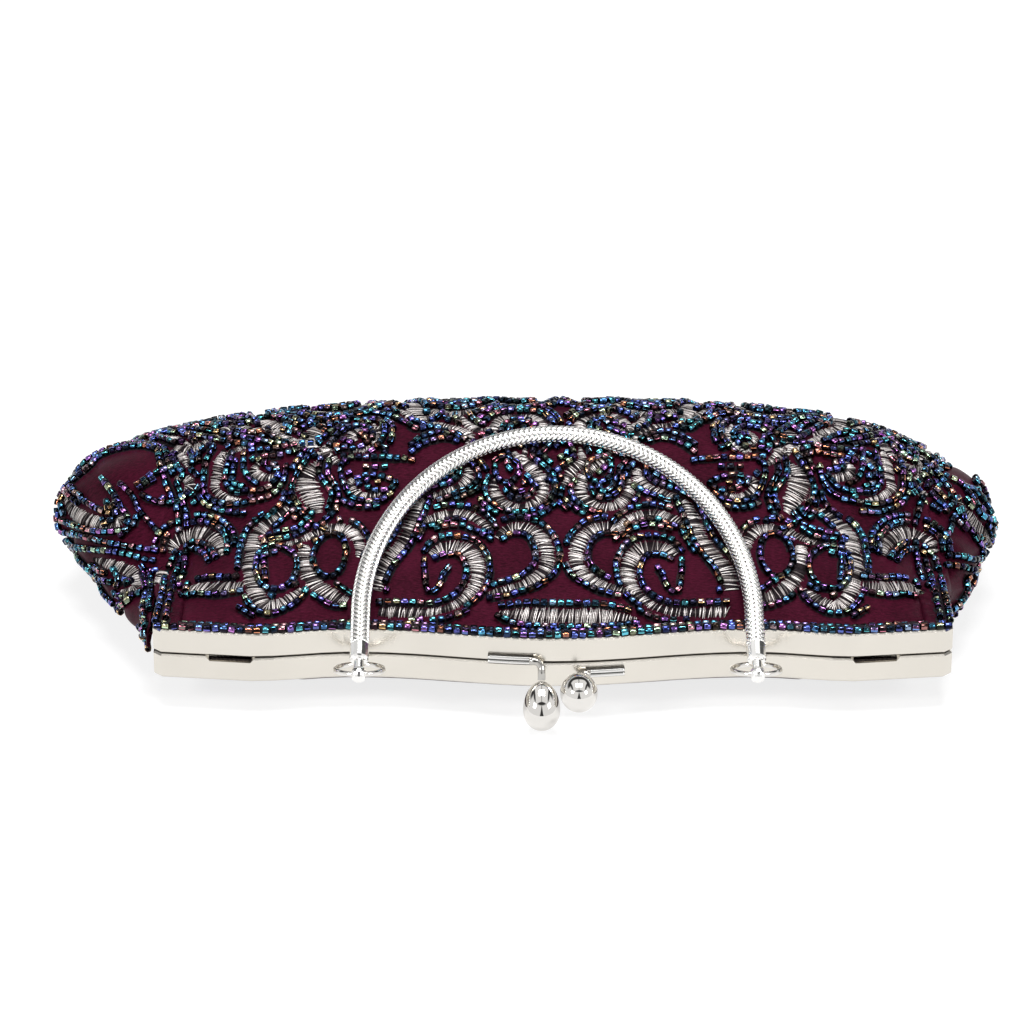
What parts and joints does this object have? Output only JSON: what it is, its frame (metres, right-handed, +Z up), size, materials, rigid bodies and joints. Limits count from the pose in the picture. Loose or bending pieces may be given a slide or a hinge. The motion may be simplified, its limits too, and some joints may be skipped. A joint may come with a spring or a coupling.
{
  "type": "evening clutch",
  "caption": "Beaded evening clutch lying on its back: hinged two-part metal frame, kiss-lock clasp, soft padded body and an arched chain handle on rings.",
  "frame": {"origin": "centre of the back panel's flat underside, on the surface that the clutch lies on, 70 mm behind the frame's face at its corners", "axes": "+X along the frame, -Y out of the frame's face, +Y to the bottom of the bag, +Z up through the front panel"},
  "size_m": [0.276, 0.1502, 0.0577],
  "materials": {
    "frame_metal": "polished nickel plate",
    "clasp_metal": "polished nickel plate",
    "ring_metal": "polished nickel plate",
    "chain_metal": "bright silver plate, fine herringbone links",
    "core_steel": "drawn wire",
    "paper_cord": "twisted, matt",
    "beaded_satin": "plum satin with silver stitching and iridescent beads",
    "lining_fabric": "plain weave, matt"
  },
  "bodies": {
    "back_half": {"back_frame": "frame_metal", "back_frame_cord": "paper_cord", "hinge_rivet_left": "frame_metal", "hinge_rivet_right": "frame_metal", "clasp_arm_back": "clasp_metal", "clasp_knob_back": "clasp_metal", "back_panel": "beaded_satin", "front_panel": "beaded_satin", "gusset_left": "beaded_satin", "gusset_right": "beaded_satin", "lining_back": "lining_fabric", "lining_front": "lining_fabric"},
    "front_half": {"front_frame": "frame_metal", "front_frame_cord": "paper_cord", "clasp_arm_front": "clasp_metal", "clasp_knob_front": "clasp_metal", "handle_loop_left": "frame_metal", "handle_loop_right": "frame_metal", "front_panel_top": "beaded_satin", "lining_front_top": "lining_fabric"},
    "ring_left_body": {"ring_left": "ring_metal"},
    "ring_right_body": {"ring_right": "ring_metal"},
    "handle": {"handle_chain": "chain_metal", "handle_core": "core_steel", "ferrule_left": "ring_metal", "ferrule_right": "ring_metal"}
  },
  "joints": [
    {"name": "frame_open", "type": "hinge", "parent": "back_half", "child": "front_half", "pos_m": [0, -0.025, 0.0164], "axis": [-1, 0, 0], "range_deg": [0, 70], "deforming": ["front_panel_top", "lining_front_top"]},
    {"name": "ring_left_swing", "type": "hinge", "parent": "front_half", "child": "ring_left_body", "pos_m": [-0.0528, -0.076, 0.0161], "axis": [1, 0, 0], "range_deg": [0, 40]},
    {"name": "ring_right_swing", "type": "hinge", "parent": "front_half", "child": "ring_right_body", "pos_m": [0.0552, -0.076, 0.0161], "axis": [1, 0, 0], "range_deg": [0, 40]},
    {"name": "handle_swing", "type": "hinge", "parent": "ring_left_body", "child": "handle", "pos_m": [-0.0528, -0.08865, 0.01911], "axis": [1, 0, 0], "range_deg": [0, 165]}
  ],
  "couplings": [
    {"joint": "ring_left_swing", "follows": "frame_open", "ratio": 0.5714},
    {"joint": "ring_right_swing", "follows": "frame_open", "ratio": 0.5714}
  ]
}
